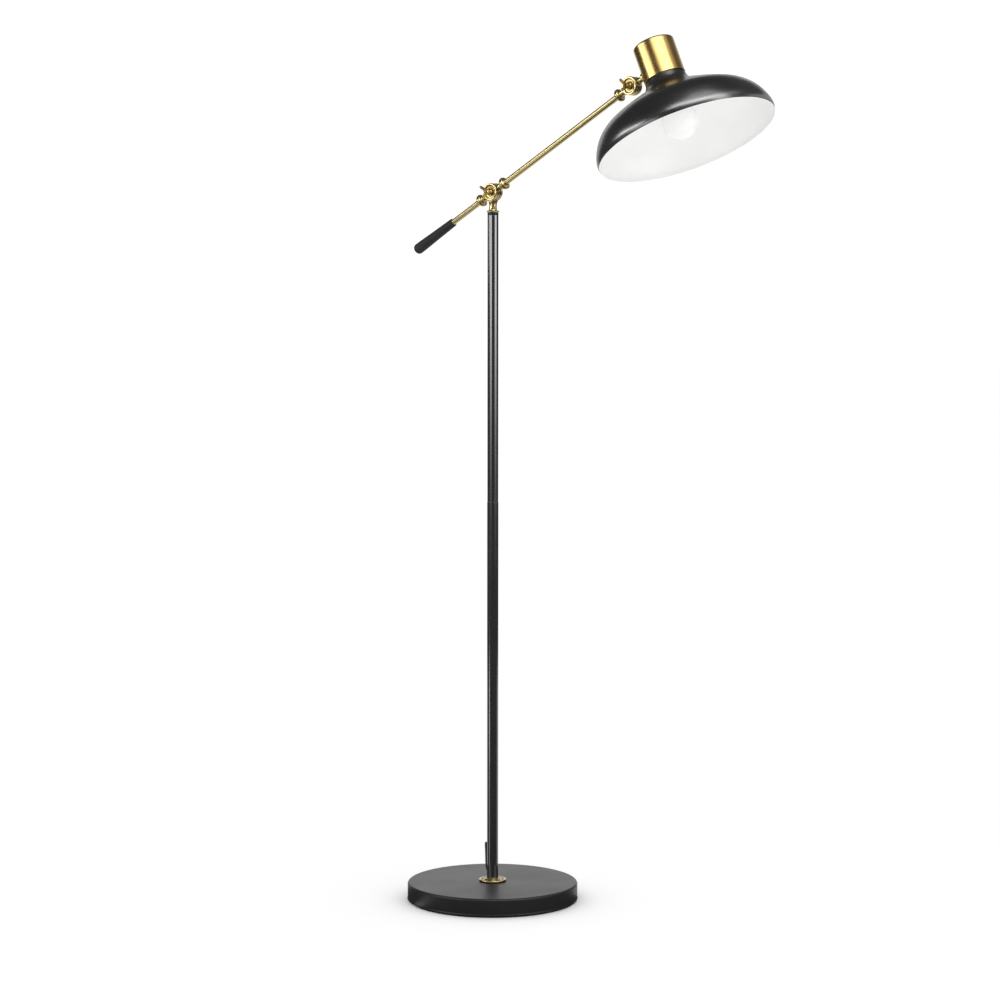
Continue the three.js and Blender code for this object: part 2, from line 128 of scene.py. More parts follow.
def make_camera():
    inward = Vector((-math.sin(CAMERA_AZIMUTH), math.cos(CAMERA_AZIMUTH), 0))
    right = Vector((math.cos(CAMERA_AZIMUTH), math.sin(CAMERA_AZIMUTH), 0))
    level = inward * math.cos(CAMERA_YAW) + right * math.sin(CAMERA_YAW)
    look = level * math.cos(CAMERA_PITCH) - Vector((0, 0, math.sin(CAMERA_PITCH)))
    camera = bpy.data.objects.new("camera", bpy.data.cameras.new("camera"))
    camera.data.sensor_width = 36
    camera.data.lens = CAMERA_LENS
    camera.data.clip_end = 200
    camera.location = -inward * CAMERA_DISTANCE + Vector((0, 0, CAMERA_HEIGHT))
    turned_level = look.to_track_quat("-Z", "Y")
    camera.rotation_euler = (turned_level @ Quaternion((0, 0, 1), CAMERA_ROLL)).to_euler()
    bpy.context.collection.objects.link(camera)
    bpy.context.scene.camera = camera


# Materials ------------------------------------------------------------------

NOISE_LOW, NOISE_HIGH = 0.3, 0.7  # where most of a noise's values lie
BUMP_STRENGTH = 0.6


def surface(name, color, roughness, metallic=0.0, **sockets):
    """A principled material, its node tree, its shader and its object coordinates."""
    material = bpy.data.materials.new(name)
    material.use_nodes = True
    tree = material.node_tree
    shader = tree.nodes["Principled BSDF"]
    shader.inputs["Base Color"].default_value = (*color, 1)
    shader.inputs["Roughness"].default_value = roughness
    shader.inputs["Metallic"].default_value = metallic
    for socket, value in sockets.items():
        shader.inputs[socket.replace("_", " ")].default_value = value
    place = tree.nodes.new("ShaderNodeTexCoord").outputs["Object"]
    return material, tree, shader, place


def noise(tree, place, scale, detail=3.0, stretch=None):
    """Noise at a scale of bumps to the metre. stretch squeezes it along each axis."""
    if stretch:
        mapping = tree.nodes.new("ShaderNodeMapping")
        mapping.inputs["Scale"].default_value = stretch
        tree.links.new(place, mapping.inputs["Vector"])
        place = mapping.outputs["Vector"]
    texture = tree.nodes.new("ShaderNodeTexNoise")
    texture.inputs["Scale"].default_value = scale
    texture.inputs["Detail"].default_value = detail
    tree.links.new(place, texture.inputs["Vector"])
    return texture.outputs["Fac"]


def spread(tree, value, low, high):
    """The noise value taken from its usual middle range to low..high."""
    change = tree.nodes.new("ShaderNodeMapRange")
    change.inputs["From Min"].default_value = NOISE_LOW
    change.inputs["From Max"].default_value = NOISE_HIGH
    change.inputs["To Min"].default_value = low
    change.inputs["To Max"].default_value = high
    tree.links.new(value, change.inputs["Value"])
    return change.outputs["Result"]


def tint(tree, value, dark, light):
    """A colour between dark and light, by the noise value."""
    ramp = tree.nodes.new("ShaderNodeValToRGB")
    ramp.color_ramp.elements[0].position = NOISE_LOW
    ramp.color_ramp.elements[1].position = NOISE_HIGH
    ramp.color_ramp.elements[0].color = (*dark, 1)
    ramp.color_ramp.elements[1].color = (*light, 1)
    tree.links.new(value, ramp.inputs["Fac"])
    return ramp.outputs["Color"]


def emboss(tree, shader, height, depth):
    bump = tree.nodes.new("ShaderNodeBump")
    bump.inputs["Strength"].default_value = BUMP_STRENGTH
    bump.inputs["Distance"].default_value = depth * MM
    tree.links.new(height, bump.inputs["Height"])
    tree.links.new(bump.outputs["Normal"], shader.inputs["Normal"])


def coat(name, dark, light, rough, grain=0, depth=0, patch=14, metallic=0.0, stretch=None,
         **sockets):
    """Paint, plastic, rubber or metal: soft patches of colour and gloss, and a fine grain.

    rough is the lowest and highest roughness. grain and patch are in bumps to the metre.
    """
    middle = [(a + b) / 2 for a, b in zip(dark, light)]
    material, tree, shader, place = surface(name, middle, sum(rough) / 2, metallic, **sockets)
    soft = noise(tree, place, patch)
    tree.links.new(tint(tree, soft, dark, light), shader.inputs["Base Color"])
    tree.links.new(spread(tree, soft, *rough), shader.inputs["Roughness"])
    if depth:
        emboss(tree, shader, noise(tree, place, grain, 2.0, stretch), depth)
    return material


def grey(value):
    return (value, value, value * 1.01)


POWDER_BLACK = coat("powder_black", grey(0.010), grey(0.014), (0.35, 0.41), 1500, 0.012)
GLOSS_BLACK = coat("gloss_black", grey(0.008), grey(0.011), (0.12, 0.15),
                   IOR=2.1, Specular_IOR_Level=1.0)
SHADE_BLACK = coat("shade_black", grey(0.004), grey(0.006), (0.25, 0.29),
                   IOR=1.9, Specular_IOR_Level=1.0)
SHADE_WHITE = coat("shade_white", (0.88, 0.88, 0.87), (0.91, 0.91, 0.9), (0.4, 0.46), 900, 0.006)
BAND_BLACK = coat("band_black", grey(0.009), grey(0.013), (0.4, 0.46), 900, 0.01)
BRASS = coat("brass", (0.66, 0.54, 0.26), (0.72, 0.59, 0.30), (0.24, 0.28),
             patch=60, metallic=1.0)
RECESS_BRASS = coat("recess_brass", (0.32, 0.22, 0.07), (0.42, 0.30, 0.10), (0.36, 0.44),
                    900, 0.005, patch=90, metallic=1.0)
# Dark brass for the collar's cove: a painted reflection of the black pole and base in it.
COVE_PAINTED_REFLECTION = coat("cove_painted_reflection", (0.10, 0.07, 0.025), (0.17, 0.12, 0.04), (0.30, 0.38),
                  patch=60, metallic=1.0)
CAP_GOLD = coat("cap_gold", (0.60, 0.40, 0.12), (0.66, 0.45, 0.15), (0.24, 0.28), 260, 0.001,
                patch=30, metallic=1.0, stretch=(0.6, 0.6, 12), Coat_Weight=0.6,
                Coat_Roughness=0.2)
STEEL = coat("zinc_steel", (0.42, 0.42, 0.43), (0.55, 0.55, 0.55), (0.3, 0.42), 600, 0.006,
             patch=40, metallic=1.0)
IRON = coat("cast_iron", (0.06, 0.058, 0.055), (0.10, 0.096, 0.09), (0.7, 0.85), 350, 0.2,
            patch=25, metallic=0.6)
GRIP_RUBBER = coat("grip_rubber", grey(0.012), grey(0.02), (0.62, 0.75), 750, 0.16, patch=40)
CORD_RUBBER = coat("cord_rubber", grey(0.011), grey(0.015), (0.45, 0.55), 900, 0.015, patch=40)
PAD_RUBBER = coat("pad_rubber", grey(0.01), grey(0.014), (0.75, 0.85), 600, 0.05, patch=40)
MOULDED = coat("moulded_black", grey(0.012), grey(0.017), (0.42, 0.5), 1100, 0.03, patch=30)
PORCELAIN = coat("porcelain", (0.83, 0.82, 0.78), (0.88, 0.87, 0.84), (0.16, 0.22), 200, 0.004,
                 patch=30)
FROSTED = coat("frosted_bulb", (0.93, 0.93, 0.92), (0.95, 0.95, 0.94), (0.22, 0.3), 500, 0.004,
               patch=30)


# Shapes ---------------------------------------------------------------------
# A shape is a list of points and a list of faces.

def arc(r, z, radius, start, end, steps):
    """Profile points round (r, z), by angles in degrees."""
    angles = [math.radians(start + (end - start) * i / steps) for i in range(steps + 1)]
    return [(r + radius * math.cos(a), z + radius * math.sin(a)) for a in angles]


def turned(outline, sides=64):
    """A profile of (radius, height) points taken round the Z axis. A closed one is a ring."""
    closed = outline[0] == outline[-1]
    profile = outline[:-1] if closed else outline
    points, rings = [], []
    for r, z in profile:
        count = 1 if r < 1e-6 else sides
        rings.append([len(points) + i for i in range(count)])
        for i in range(count):
            a = 2 * math.pi * i / sides
            points.append(Vector((r * math.cos(a), r * math.sin(a), z)))
    faces = []
    pairs = zip(rings, rings[1:] + rings[:1]) if closed else zip(rings, rings[1:])
    for low, high in pairs:
        for i in range(sides):
            j = (i + 1) % sides
            if len(low) == 1 and len(high) > 1:
                faces.append((low[0], high[j], high[i]))
            elif len(high) == 1 and len(low) > 1:
                faces.append((low[i], low[j], high[0]))
            elif len(low) > 1:
                faces.append((low[i], low[j], high[j], high[i]))
    return points, faces


def edged(inner, outer, low, high, soft=0.4, sides=64):
    """A ring or tube with softened outer edges. With no inner radius it is a rod."""
    start = [(inner, low)] if inner else [(0, low)]
    end = [(inner, high), (inner, low)] if inner else [(0, high)]
    return turned(start + arc(outer - soft, low + soft, soft, -90, 0, 3)
                  + arc(outer - soft, high - soft, soft, 0, 90, 3) + end, sides)


def stacked(rings, closed=False):
    """A skin over rings with equal counts of points, from the bottom up. A closed one joins
    its last ring to its first, and an open one has a face at each end."""
    count = len(rings[0])
    points = [p for ring in rings for p in ring]
    starts = [count * k for k in range(len(rings))]
    pairs = list(zip(starts, starts[1:]))
    if closed:
        faces = []
        pairs.append((starts[-1], starts[0]))
    else:
        faces = [tuple(reversed(range(count))), tuple(starts[-1] + i for i in range(count))]
    for a, b in pairs:
        faces += [(a + i, a + (i + 1) % count, b + (i + 1) % count, b + i) for i in range(count)]
    return points, faces


def plate(length, width, corner, low, high, soft=0.8, steps=8, hole=0):
    """A plate with round corners in plan, softened edges, and a round hole if one is given."""
    levels = [(low + soft - soft * math.cos(a), soft - soft * math.sin(a))
              for a in (0, math.pi / 6, math.pi / 3, math.pi / 2)]
    levels += [(high + low - z, inset) for z, inset in reversed(levels)]
    rings = []
    for z, inset in levels:
        ring = []
        for k, (sx, sy) in enumerate(((1, 1), (-1, 1), (-1, -1), (1, -1))):
            ring += [Vector((x, y, z)) for x, y in
                     arc(sx * (length / 2 - corner), sy * (width / 2 - corner),
                         corner - inset, 90 * k, 90 * k + 90, steps)]
        rings.append(ring)
    if hole:
        count = len(rings[0])
        turns = [2 * math.pi * (i + 0.5) / count for i in range(count)]
        rings += [[Vector((hole * math.cos(a), hole * math.sin(a), z)) for a in turns]
                  for z in (high, low)]
    return stacked(rings, closed=hole > 0)


def through(points, steps):
    """Points along the smooth curve through the given ones, each with its direction."""
    made = []
    last = len(points) - 1
    for i in range(steps + 1):
        whole = min(int(last * i / steps), last - 1)
        w = last * i / steps - whole
        p0, p1, p2, p3 = (Vector(points[max(0, min(last, whole + k))]) for k in (-1, 0, 1, 2))
        m1, m2 = (p2 - p0) / 2, (p3 - p1) / 2
        square, cube = 3 * (p2 - p1) - 2 * m1 - m2, 2 * (p1 - p2) + m1 + m2
        at = p1 + m1 * w + square * w ** 2 + cube * w ** 3
        along = m1 + 2 * square * w + 3 * cube * w ** 2
        made.append((at, along.normalized()))
    return made


def moved(shape, matrix):
    return [matrix @ p for p in shape[0]], shape[1]


def shifted(shape, x=0.0, y=0.0, z=0.0):
    return moved(shape, Matrix.Translation((x, y, z)))


def piece(name, body, place, parts, materials, stands_for, crease=38):
    """One object from its parts, placed and scaled by a matrix, riding on a CAD body.

    A part is a shape with its material's number, or a shape alone, which has number 0.
    Edges sharper than crease, in degrees, stay sharp.
    """
    points, faces, slots = [], [], []
    for part in parts:
        (new_points, new_faces), slot = part if isinstance(part[1], int) else (part, 0)
        start = len(points)
        points += new_points
        faces += [tuple(start + i for i in face) for face in new_faces]
        slots += [slot] * len(new_faces)
    mesh = bpy.data.meshes.new(name)
    mesh.from_pydata([tuple(place @ p) for p in points], [], faces)
    for material in materials:
        mesh.materials.append(material)
    mesh.polygons.foreach_set("material_index", slots)
    mesh.polygons.foreach_set("use_smooth", [True] * len(faces))
    mesh.set_sharp_from_angle(angle=math.radians(crease))
    mesh.update()
    made = bpy.data.objects.new(name, mesh)
    bpy.context.collection.objects.link(made)
    # Long faces keep their own direction, so only the small edges round them bend the light.
    made.modifiers.new("weighted_normals", "WEIGHTED_NORMAL").keep_sharp = True
    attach(made, body)
    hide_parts(*stands_for)
    return made


# Cord -----------------------------------------------------------------------
# It leaves the strain relief, crosses the base behind the pole, drops off the rear edge,
# is coiled on the floor, and goes through the foot switch to the plug.

RELIEF_X = -13.75
RELIEF_FOOT = 64
RELIEF_STEM = 92  # height of the stem that plugs into the pole
SWITCH_PLACE = (-78.9, 148.4, 0)
SWITCH_TURN = math.radians(28)
PLUG_PLACE = (-31.1, 169.7, 6.6)
PLUG_TURN = math.radians(7)
CORD_DOWN = [
    (RELIEF_X, 0, 63.7), (-13.85, 0.7, 57.5), (-15, 4, 49.6), (-18.6, 10.6, 43.2),
    (-25.6, 20, 39.2), (-35, 31.4, 36.1), (-50, 47.6, 35.7), (-74, 72.2, 35.6),
    (-98, 96.6, 35.6), (-103.3, 101.9, 35.5), (-110.6, 109.1, 34), (-117, 115.5, 29.1),
    (-122.2, 120.7, 19.7), (-127.4, 126, 10.3), (-133.8, 132.3, 5.1), (-141, 139.6, 3.1),
    (-151.8, 145.9, 3.05), (-164.3, 145.9, 3.05), (-175, 139.7, 3.05), (-184.7, 130, 3.05),
]
CORD_TAIL = [
    (-132.4, 96.6, 4.4), (-128.8, 105.4, 3.2), (-124.5, 114.1, 3.05), (-119, 122.1, 3.3),
    (-113, 129.2, 5), (-108.9, 132.3, 6.6), (-105, 134.5, 7.2),
]
CORD_END = [
    (-52.8, 162.3, 7.2), (-47.6, 164.8, 6.8), (-42, 167.1, 6.5), (-36.8, 168.7, 6.5),
    (-31.6, 169.6, 6.6),
]
COIL_PLACE = (-173.95, 89.1)
COIL_MIDDLE = 31
COIL_TURNS = 5.57
COIL_START = math.radians(135)
LANE_CHANGE = 0.2  # the part of a turn that moves over to the next lane


def coil_points(per_turn=18):
    """Turns wound from the outside in, then from the inside out on top of them."""
    wide = 2 * CORD_RADIUS
    low, high = CORD_RADIUS + GAP, 3 * CORD_RADIUS + GAP
    lanes = [(COIL_MIDDLE + wide, low), (COIL_MIDDLE, low), (COIL_MIDDLE - wide, low),
             (COIL_MIDDLE - wide, high), (COIL_MIDDLE, high), (COIL_MIDDLE + wide, high)]
    points = []
    for i in range(int(COIL_TURNS * per_turn) + 1):
        turn, part = divmod(i / per_turn, 1)
        here, after = lanes[int(turn)], lanes[min(int(turn) + 1, len(lanes) - 1)]
        step = max(0.0, (part - (1 - LANE_CHANGE)) / LANE_CHANGE)
        ease = step * step * (3 - 2 * step)
        r = here[0] + (after[0] - here[0]) * ease
        a = COIL_START + 2 * math.pi * (turn + part)
        points.append((COIL_PLACE[0] + r * math.cos(a), COIL_PLACE[1] + r * math.sin(a),
                       here[1] + (after[1] - here[1]) * ease))
    return points


def make_cord(switch_and_plug):
    route = CORD_DOWN + coil_points() + CORD_TAIL + CORD_END
    curve = bpy.data.curves.new("cord", "CURVE")
    curve.dimensions = "3D"
    curve.bevel_depth = CORD_RADIUS * MM
    curve.bevel_resolution = 4
    curve.resolution_u = 5
    curve.use_fill_caps = True
    spline = curve.splines.new("BEZIER")
    spline.bezier_points.add(len(route) - 1)
    for knot, point in zip(spline.bezier_points, route):
        knot.co = [x * MM for x in point]
        knot.handle_left_type = knot.handle_right_type = "AUTO"
    curve.materials.append(CORD_RUBBER)
    cord = bpy.data.objects.new("cord", curve)
    bpy.context.collection.objects.link(cord)
    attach(cord, "stand")
    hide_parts("cord_from_pole", "cord_coil", "cord_to_switch", "cord_to_plug")


def make_strain_relief():
    """A tapered, ribbed right-angle relief beside the pole."""
    outline = [(0, RELIEF_FOOT), (2.7, RELIEF_FOOT), (3.0, RELIEF_FOOT + 0.3)]
    for i in range(6):
        low = RELIEF_FOOT + 2 + i * 3.4
        r = 3.05 + 0.08 * i
        outline += [(r, low), (r, low + 1.8), (r - 0.7, low + 2.1), (r - 0.7, low + 3.1)]
    outline += [(3.5, 86.6), (3.6, 95)] + arc(1.6, 97, 2, 0, 90, 5) + [(0, 99)]
    tail = shifted(turned(outline, 32), x=RELIEF_X)
    stem = shifted(moved(edged(0, 2.8, 6.6, 12, 0.2, 32), ALONG_MINUS_X), z=RELIEF_STEM)
    return piece("strain_relief_piece", "stand", WHOLE, [tail, stem], [CORD_RUBBER],
                 ["strain_relief"])


def make_switch():
    """The foot switch: a two-part case with a seam, a domed top and a round button."""
    place = WHOLE @ Matrix.Translation(SWITCH_PLACE) @ Matrix.Rotation(SWITCH_TURN, 4, "Z")
    base = piece("switch_lower", "stand", place, [plate(58, 30, 13, 0.3, 7, 1.2)], [MOULDED],
                 ["switch_base"])
    rim = turned([(8.6, 13.2), (11.4, 13.2), (11.4, 14.9)] + arc(10.6, 14.9, 0.6, 0, 180, 6)
                 + [(8.6, 14.6), (8.6, 13.2)], 48)
    cover = piece("switch_upper", "stand", place,
                  [plate(57.6, 29.6, 12.8, 7.3, 14.4, 2.6, hole=9.5), rim], [MOULDED],
                  ["switch_cover"])
    dome = turned([(0, 12.3), (8, 12.3), (8, 15.4)] + arc(6.6, 15.4, 1.4, 0, 90, 5)
                  + [(0, 16.5)], 48)
    button = piece("switch_press", "switch_button", place, [dome], [CORD_RUBBER],
                   ["switch_button"])
    return [base, cover, button]


def make_plug():
    place = WHOLE @ Matrix.Translation(PLUG_PLACE) @ Matrix.Rotation(PLUG_TURN, 4, "Z")
    outline = [(0, 0.1), (3.5, 0.1)]
    for i in range(4):
        low = 1 + i * 2.6
        r = 3.8 + 0.3 * i
        outline += [(r, low), (r, low + 1.4), (r - 0.6, low + 1.7), (r - 0.6, low + 2.4)]
    outline += [(5.4, 12.4), (6.1, 18), (6.1, 30), (0, 30)]
    tail = moved(turned(outline, 40), ALONG_X)
    shell = shifted(plate(18, 22, 5, -6.1, 5.9, 1.6), x=24.6)
    body = piece("plug_moulding", "stand", place, [tail, shell], [CORD_RUBBER],
                 ["plug_body"])
    blades = []
    for i, side in enumerate((-1, 1)):
        blade = moved(plate(16, 6.3, 1.4, -0.8, 0.8, 0.3), ALONG_FRONT)
        blades.append(piece(f"plug_pin_{i + 1}", "stand", place,
                            [shifted(blade, x=42, y=side * 6.35)], [BRASS],
                            [f"plug_blade_{i + 1}"]))
    return [body, *blades]


# Base and pole --------------------------------------------------------------

def make_base():
    """The pressed cover with its stepped edge, the pad under it and the collar on it."""
    r, low, top = BASE_RADIUS, BASE_BOTTOM, BASE_TOP
    sheet, hole = 1.3, 6
    outline = ([(r - 5.5, low)] + arc(r - 1.6, low + 1.6, 1.6, -90, 40, 8)
               + [(r - 0.75, low + 3.5), (r - 0.6, low + 4.6)]
               + arc(r - 4.6, top - 4.6, 4, 0, 90, 12)
               + [(60, top), (hole, top), (hole, top - sheet), (60, top - sheet)]
               + arc(r - 4.6, top - 4.6, 4 - sheet, 90, 0, 8)
               + [(r - 1.9, low + 4), (r - 5.5, low + 1.3), (r - 5.5, low)])
    piece("base_shell", "stand", WHOLE, [turned(outline, 192)], [POWDER_BLACK],
          ["base_cover"])
    pad = [(0, 0)] + arc(145.8, 0.7, 0.7, -90, 90, 6) + [(0, 1.5)]
    piece("base_foot_pad", "stand", WHOLE, [turned([(x, max(z, 0)) for x, z in pad], 128)],
          [PAD_RUBBER], ["base_pad"])
    bore = POLE_RADIUS + GAP
    bright = ([(bore, top + GAP), (23, top + GAP)] + arc(22.3, top + 1.9, 1.7, -50, 125, 10)
              + arc(18.6, top + 4.4, 2.6, 250, 215, 4) + [(15.2, top + 2.8)]
              + arc(12.6, top + 3.6, 1.2, 30, 120, 5) + [(11.4, top + 4.4)]
              + arc(10.7, top + 4.7, 0.55, 0, 120, 4) + [(bore, top + 5.2), (bore, top + GAP)])
    # The cove takes the dark brass, a painted reflection of the black pole and base.
    cove = [(11, top + 0.35), (20.8, top + 0.35), (20.5, top + 3.1), (17, top + 2.45),
            (13.2, top + 3.4), (12.2, top + 4.9), (11, top + 5.1), (11, top + 0.35)]
    piece("collar", "stand", WHOLE, [(turned(bright, 96), 0), (turned(cove, 96), 1)],
          [BRASS, COVE_PAINTED_REFLECTION], ["base_collar"])


def make_pole():
    lower = edged(POLE_BORE, POLE_RADIUS, POLE_FOOT, POLE_SPLIT, 0.35, 96)
    upper = edged(POLE_BORE, UPPER_POLE_RADIUS, POLE_SPLIT + GAP, POLE_TOP, 0.35, 96)
    piece("pole_tube_lower", "stand", WHOLE, [lower], [GLOSS_BLACK], ["pole_lower"])
    piece("pole_tube_upper", "stand", WHOLE, [upper], [GLOSS_BLACK], ["pole_upper"])
    band = edged(6.3, UPPER_POLE_RADIUS + 0.1, POLE_TOP + GAP, BAND_TOP, 0.4, 96)
    piece("pole_band", "stand", WHOLE, [band], [BAND_BLACK], ["pole_top_ring"])


# Joints ---------------------------------------------------------------------
# Both are made about their own centre, with the pin along Y.

def cheek():
    """A round cheek with a polished raised rim and a dark dished face."""
    out, rim = JOINT_HALF, 12.2
    metal = turned([(3.4, SLOT_HALF), (JOINT_RADIUS - 0.3, SLOT_HALF),
                    (JOINT_RADIUS, SLOT_HALF + 0.3), (JOINT_RADIUS, out - 1.4)]
                   + arc(JOINT_RADIUS - 1.4, out - 1.4, 1.4, 10, 100, 6)
                   + arc(rim + 0.7, out - 0.7, 0.7, 90, 180, 4)
                   + [(rim, out - 2.4), (3.4, out - 2.9), (3.4, SLOT_HALF)], 72)
    dish = turned([(3.45, out - 2.95), (rim + 0.2, out - 2.6), (rim + 0.2, out - 2.25),
                   (9, out - 2.6), (3.45, out - 2.7), (3.45, out - 2.95)], 72)
    return [(metal, 0), (dish, 1)]


def fork(stem):
    """Two cheeks, the web that joins them, and the stem it stands on, along -Z."""
    web = shifted(plate(9.4, 14.4, 3.4, 0, 5.2, 1.2), z=-18.6)
    parts = [(stem, 0), (web, 0)]
    for turn in (Matrix.Identity(4), TURN_BACK):
        parts += [(moved(shape, turn @ ALONG_FRONT), slot) for shape, slot in cheek()]
    for side in (-1, 1):
        ear = plate(9.4, 5, 1.4, 0, 6.4, 0.8)
        parts.append((shifted(ear, y=side * (SLOT_HALF + 2.6), z=-17), 0))
    return parts


def bead(neck):
    """A sleeve's turned end: neck, round bead and a lip round the tube."""
    return ([(neck, 22.4), (neck - 0.3, 24.2), (6.4, BEAD_PLACE - 4.3)]
            + arc(6.9, BEAD_PLACE, 4.3, -80, 80, 14)
            + [(6.7, BEAD_PLACE + 4.4)] + arc(6.2, SLEEVE_END - 0.4, 0.4, 0, 90, 3)
            + [(ROD_RADIUS + GAP, SLEEVE_END), (ROD_RADIUS + GAP, SLEEVE_END - 9.5),
               (0, SLEEVE_END - 9.5)])


def knuckle(sleeves):
    """The tongue between the cheeks, with a sleeve for each angle in degrees."""
    parts = [moved(edged(3.4, 15.2, -KNUCKLE_HALF, KNUCKLE_HALF, 0.3, 72), ALONG_FRONT)]
    for angle, sleeve in sleeves:
        turn = Matrix.Rotation(math.radians(angle), 4, "Y")
        tongue = moved(plate(9, 10.4, 1.2, -KNUCKLE_HALF, KNUCKLE_HALF, 0.3), ALONG_FRONT)
        parts += [moved(shifted(tongue, x=14.2), turn), moved(sleeve, turn @ ALONG_X)]
    return parts


def bolt():
    """The bolt's domed head sits in the rear cheek's recess."""
    seat = JOINT_HALF - 2.3
    dome = arc(0, -seat, 6, -90, 0, 8)
    dome = [(r, -seat + (z + seat) * 0.55) for r, z in dome]
    return moved(turned(dome + [(3, -seat), (3, seat - 1), (0, seat - 1)], 40), ALONG_FRONT)


# Half the outline of a wing key: out from the hub to a rounded tip and back to the notch.
WING = [(4, -11.5), (5.2, -16), (8.6, -22), (10.6, -26), (10.2, -28.6), (8.2, -29.4),
        (5.6, -27.4), (2.6, -23), (0, -21.6)]


def wing(thick):
    """A flat butterfly with softened edges, smoothed between the points of its outline."""
    soft, half_thick = 0.5, thick / 2
    half = [at for at, _ in through(WING, 5 * (len(WING) - 1))]
    outline = [Vector((-p.x, p.y)) for p in half[:-1]] + half[::-1]
    outward = []
    for before, after in zip(outline[-1:] + outline[:-1], outline[1:] + outline[:1]):
        along = after - before
        outward.append(Vector((along.y, -along.x)).normalized())
    edge = [(half_thick - soft, 0), (half_thick - soft * 0.3, soft * 0.3), (half_thick, soft)]
    levels = [(-z, inset) for z, inset in reversed(edge)] + edge
    return stacked([[Vector((p.x - n.x * inset, p.y - n.y * inset, z))
                     for p, n in zip(outline, outward)] for z, inset in levels])


def key(turn):
    """A wing key: a stepped hub in the front recess and a flat butterfly wing."""
    hub = turned([(0, 6.7), (5.8, 6.7), (5.8, 8.2)] + arc(5.2, 8.2, 0.6, 0, 90, 3)
                 + arc(6.4, 11, 2.2, 250, 200, 4) + [(3.6, 12.8), (0, 13.2)], 48)
    waist = shifted(plate(7.4, 6, 2.2, -1.7, 1.7, 0.9), y=-12.6)
    turned_by = Matrix.Rotation(-turn, 4, "Y")
    return [moved(shape, turned_by) for shape in (moved(hub, ALONG_FRONT), wing(2.4), waist)]


def make_pivot():
    low = BAND_TOP + GAP - PIVOT.z / MM
    outline = ([(0, low), (10, low)] + arc(9.9, low + 1.6, 1.3, -70, 80, 6)
               + arc(10.2, low + 5.4, 2.9, 230, 180, 5)
               + [(6.9, low + 8), (6.5, low + 11), (6.8, low + 15.5), (7.9, low + 19.5)]
               + arc(6.4, low + 20.6, 0.9, 0, 90, 4) + [(0, low + 21.5)])
    piece("pivot_fork", "pivot", AT_PIVOT, fork(turned(outline, 64)), [BRASS, RECESS_BRASS],
          ["pivot_post"])
    piece("pivot_bolt_head", "pivot", AT_PIVOT, [bolt()], [BRASS], ["pivot_bolt"])
    piece("pivot_wing_key", "pivot_key", AT_PIVOT, key(math.radians(114)), [BRASS],
          ["pivot_key"])


def make_arm():
    sleeve = turned([(0, 15.5), (5, 15.5), (6.2, 17)] + arc(5.9, 18.4, 0.8, -40, 60, 4)
                    + [(5.9, 20.4)] + bead(6.1), 64)
    piece("arm_joint", "arm", ARM, knuckle([(0, sleeve), (180, sleeve)]), [BRASS],
          ["arm_knuckle"])
    start = SLEEVE_END - 9.7
    tube = moved(edged(3.9, ROD_RADIUS, start, ARM_REACH - start, 0.2, 48), ALONG_X)
    piece("arm_tube_polished", "arm", ARM, [tube], [BRASS], ["arm_tube"])
    rod = moved(edged(0, ROD_RADIUS, start, 190, 0.2, 48), ALONG_MINUS_X)
    piece("grip_rod_polished", "arm", ARM, [rod], [BRASS], ["grip_rod"])
    outline = ([(ROD_RADIUS + GAP, GRIP_START)] + arc(6.7, GRIP_START + 0.6, 0.6, -90, 0, 3)
               + [(7.4, GRIP_START + 4), (7.6, GRIP_START + 14), (8.2, 150), (9.0, 178),
                  (9.3, 190), (9.5, GRIP_END - 9.5)]
               + arc(3.6, GRIP_END - 6, 5.9, 12, 90, 9) + [(0, GRIP_END)])
    piece("grip_sleeve", "arm", ARM, [moved(turned(outline, 64), ALONG_MINUS_X)],
          [GRIP_RUBBER], ["grip"])

    stem = turned([(0, 12), (5.6, 12), (5.9, 19.6)] + bead(6), 64)
    stem = moved(stem, Matrix.Rotation(math.pi, 4, "X"))
    parts = [(moved(shape, ALONG_X), slot) for shape, slot in fork(stem)]
    piece("head_joint_fork", "arm", ARM_END, parts, [BRASS, RECESS_BRASS], ["head_fork"])
    piece("head_bolt_head", "arm", ARM_END, [bolt()], [BRASS], ["head_bolt"])
    piece("head_wing_key", "head_key", ARM_END, key(math.radians(47) + ARM_ELEVATION), [BRASS],
          ["head_key"])


# Head -----------------------------------------------------------------------

# From the rim up to the crown: distance from the axis, height above the rim's plane.
SHADE_POINTS = [
    (149, 0), (150.2, 9), (146.8, 22), (137.8, 39), (124, 53.2), (105, 64.4),
    (80, 76.4), (58, 86.2), (44.5, 93.4), (37, 101.5), (33.6, 111.6),
]


def make_shade():
    """A spun shell: black outside, white inside and round its rim. Gives its crown's height."""
    outside, inside = [], []
    for at, along in through(SHADE_POINTS, 60):
        outside.append((at.x, at.y))
        inside.append((at.x - along.y * SHADE_SHEET, max(0.0, at.y + along.x * SHADE_SHEET)))
    seat = outside[-1][1]
    rim = arc((outside[0][0] + inside[0][0]) / 2, 0.6, SHADE_SHEET / 2, 180, 360, 6)
    crown = (SHADE_HOLE, seat - SHADE_SHEET)
    outer = rim[-1:] + outside[1:] + [(33.2, seat), (SHADE_HOLE, seat), crown]
    inner = [crown] + inside[::-1][:-1] + rim
    piece("shade_shell", "head", HEAD, [(turned(outer, 160), 0), (turned(inner, 160), 1)],
          [SHADE_BLACK, SHADE_WHITE], ["shade"])
    return seat


